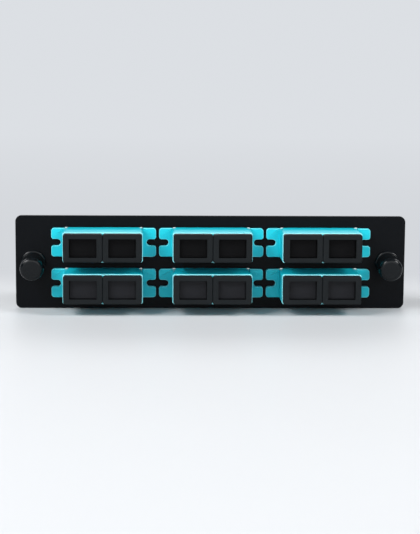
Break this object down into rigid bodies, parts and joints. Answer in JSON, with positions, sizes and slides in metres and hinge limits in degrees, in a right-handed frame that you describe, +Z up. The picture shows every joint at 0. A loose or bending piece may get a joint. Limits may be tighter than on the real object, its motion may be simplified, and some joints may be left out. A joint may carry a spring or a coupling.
{
  "type": "fibre adapter panel",
  "caption": "Flat steel panel that holds duplex optical fibre adapters in two rows, with dust caps in the ports and a push-pull fastener at each end.",
  "frame": {"origin": "centre of the plate's rear face, which seats on the enclosure", "axes": "+X to the right and +Z up as seen from the front, +Y out of the rear face, away from a viewer in front"},
  "size_m": [0.13, 0.0322, 0.031],
  "materials": {
    "black_plate": "satin black powder coat",
    "aqua_plastic": "semi-gloss moulded plastic",
    "black_cap": "matte moulded plastic",
    "black_nylon": "satin nylon",
    "clip_steel": "bright spring steel",
    "white_plastic": "natural moulded plastic",
    "white_ceramic": "polished zirconia"
  },
  "bodies": {
    "panel": {"panel_plate": "black_plate", "grommet_left": "black_nylon", "grommet_right": "black_nylon", "front_housing_1": "aqua_plastic", "rear_housing_1": "aqua_plastic", "spring_clip_1": "clip_steel", "latch_holders_1": "white_plastic", "alignment_sleeves_1": "white_ceramic", "front_housing_2": "aqua_plastic", "rear_housing_2": "aqua_plastic", "spring_clip_2": "clip_steel", "latch_holders_2": "white_plastic", "alignment_sleeves_2": "white_ceramic", "front_housing_3": "aqua_plastic", "rear_housing_3": "aqua_plastic", "spring_clip_3": "clip_steel", "latch_holders_3": "white_plastic", "alignment_sleeves_3": "white_ceramic", "front_housing_4": "aqua_plastic", "rear_housing_4": "aqua_plastic", "spring_clip_4": "clip_steel", "latch_holders_4": "white_plastic", "alignment_sleeves_4": "white_ceramic", "front_housing_5": "aqua_plastic", "rear_housing_5": "aqua_plastic", "spring_clip_5": "clip_steel", "latch_holders_5": "white_plastic", "alignment_sleeves_5": "white_ceramic", "front_housing_6": "aqua_plastic", "rear_housing_6": "aqua_plastic", "spring_clip_6": "clip_steel", "latch_holders_6": "white_plastic", "alignment_sleeves_6": "white_ceramic"},
    "front_cap_1": {"front_cap_1": "black_cap"},
    "rear_cap_1": {"rear_cap_1": "black_cap"},
    "front_cap_2": {"front_cap_2": "black_cap"},
    "rear_cap_2": {"rear_cap_2": "black_cap"},
    "front_cap_3": {"front_cap_3": "black_cap"},
    "rear_cap_3": {"rear_cap_3": "black_cap"},
    "front_cap_4": {"front_cap_4": "black_cap"},
    "rear_cap_4": {"rear_cap_4": "black_cap"},
    "front_cap_5": {"front_cap_5": "black_cap"},
    "rear_cap_5": {"rear_cap_5": "black_cap"},
    "front_cap_6": {"front_cap_6": "black_cap"},
    "rear_cap_6": {"rear_cap_6": "black_cap"},
    "front_cap_7": {"front_cap_7": "black_cap"},
    "rear_cap_7": {"rear_cap_7": "black_cap"},
    "front_cap_8": {"front_cap_8": "black_cap"},
    "rear_cap_8": {"rear_cap_8": "black_cap"},
    "front_cap_9": {"front_cap_9": "black_cap"},
    "rear_cap_9": {"rear_cap_9": "black_cap"},
    "front_cap_10": {"front_cap_10": "black_cap"},
    "rear_cap_10": {"rear_cap_10": "black_cap"},
    "front_cap_11": {"front_cap_11": "black_cap"},
    "rear_cap_11": {"rear_cap_11": "black_cap"},
    "front_cap_12": {"front_cap_12": "black_cap"},
    "rear_cap_12": {"rear_cap_12": "black_cap"},
    "plunger_left": {"plunger_left": "black_nylon"},
    "plunger_right": {"plunger_right": "black_nylon"}
  },
  "joints": [
    {"name": "front_cap_1_pull", "type": "slide", "parent": "panel", "child": "front_cap_1", "axis": [0, -1, 0], "range_m": [0, 0.01]},
    {"name": "rear_cap_1_pull", "type": "slide", "parent": "panel", "child": "rear_cap_1", "axis": [0, 1, 0], "range_m": [0, 0.01]},
    {"name": "front_cap_2_pull", "type": "slide", "parent": "panel", "child": "front_cap_2", "axis": [0, -1, 0], "range_m": [0, 0.01]},
    {"name": "rear_cap_2_pull", "type": "slide", "parent": "panel", "child": "rear_cap_2", "axis": [0, 1, 0], "range_m": [0, 0.01]},
    {"name": "front_cap_3_pull", "type": "slide", "parent": "panel", "child": "front_cap_3", "axis": [0, -1, 0], "range_m": [0, 0.01]},
    {"name": "rear_cap_3_pull", "type": "slide", "parent": "panel", "child": "rear_cap_3", "axis": [0, 1, 0], "range_m": [0, 0.01]},
    {"name": "front_cap_4_pull", "type": "slide", "parent": "panel", "child": "front_cap_4", "axis": [0, -1, 0], "range_m": [0, 0.01]},
    {"name": "rear_cap_4_pull", "type": "slide", "parent": "panel", "child": "rear_cap_4", "axis": [0, 1, 0], "range_m": [0, 0.01]},
    {"name": "front_cap_5_pull", "type": "slide", "parent": "panel", "child": "front_cap_5", "axis": [0, -1, 0], "range_m": [0, 0.01]},
    {"name": "rear_cap_5_pull", "type": "slide", "parent": "panel", "child": "rear_cap_5", "axis": [0, 1, 0], "range_m": [0, 0.01]},
    {"name": "front_cap_6_pull", "type": "slide", "parent": "panel", "child": "front_cap_6", "axis": [0, -1, 0], "range_m": [0, 0.01]},
    {"name": "rear_cap_6_pull", "type": "slide", "parent": "panel", "child": "rear_cap_6", "axis": [0, 1, 0], "range_m": [0, 0.01]},
    {"name": "front_cap_7_pull", "type": "slide", "parent": "panel", "child": "front_cap_7", "axis": [0, -1, 0], "range_m": [0, 0.01]},
    {"name": "rear_cap_7_pull", "type": "slide", "parent": "panel", "child": "rear_cap_7", "axis": [0, 1, 0], "range_m": [0, 0.01]},
    {"name": "front_cap_8_pull", "type": "slide", "parent": "panel", "child": "front_cap_8", "axis": [0, -1, 0], "range_m": [0, 0.01]},
    {"name": "rear_cap_8_pull", "type": "slide", "parent": "panel", "child": "rear_cap_8", "axis": [0, 1, 0], "range_m": [0, 0.01]},
    {"name": "front_cap_9_pull", "type": "slide", "parent": "panel", "child": "front_cap_9", "axis": [0, -1, 0], "range_m": [0, 0.01]},
    {"name": "rear_cap_9_pull", "type": "slide", "parent": "panel", "child": "rear_cap_9", "axis": [0, 1, 0], "range_m": [0, 0.01]},
    {"name": "front_cap_10_pull", "type": "slide", "parent": "panel", "child": "front_cap_10", "axis": [0, -1, 0], "range_m": [0, 0.01]},
    {"name": "rear_cap_10_pull", "type": "slide", "parent": "panel", "child": "rear_cap_10", "axis": [0, 1, 0], "range_m": [0, 0.01]},
    {"name": "front_cap_11_pull", "type": "slide", "parent": "panel", "child": "front_cap_11", "axis": [0, -1, 0], "range_m": [0, 0.01]},
    {"name": "rear_cap_11_pull", "type": "slide", "parent": "panel", "child": "rear_cap_11", "axis": [0, 1, 0], "range_m": [0, 0.01]},
    {"name": "front_cap_12_pull", "type": "slide", "parent": "panel", "child": "front_cap_12", "axis": [0, -1, 0], "range_m": [0, 0.01]},
    {"name": "rear_cap_12_pull", "type": "slide", "parent": "panel", "child": "rear_cap_12", "axis": [0, 1, 0], "range_m": [0, 0.01]},
    {"name": "plunger_left_pull", "type": "slide", "parent": "panel", "child": "plunger_left", "axis": [0, -0.9962, -0.0872], "range_m": [0, 0.0045]},
    {"name": "plunger_right_pull", "type": "slide", "parent": "panel", "child": "plunger_right", "axis": [0, -0.9962, -0.0872], "range_m": [0, 0.0045]}
  ]
}
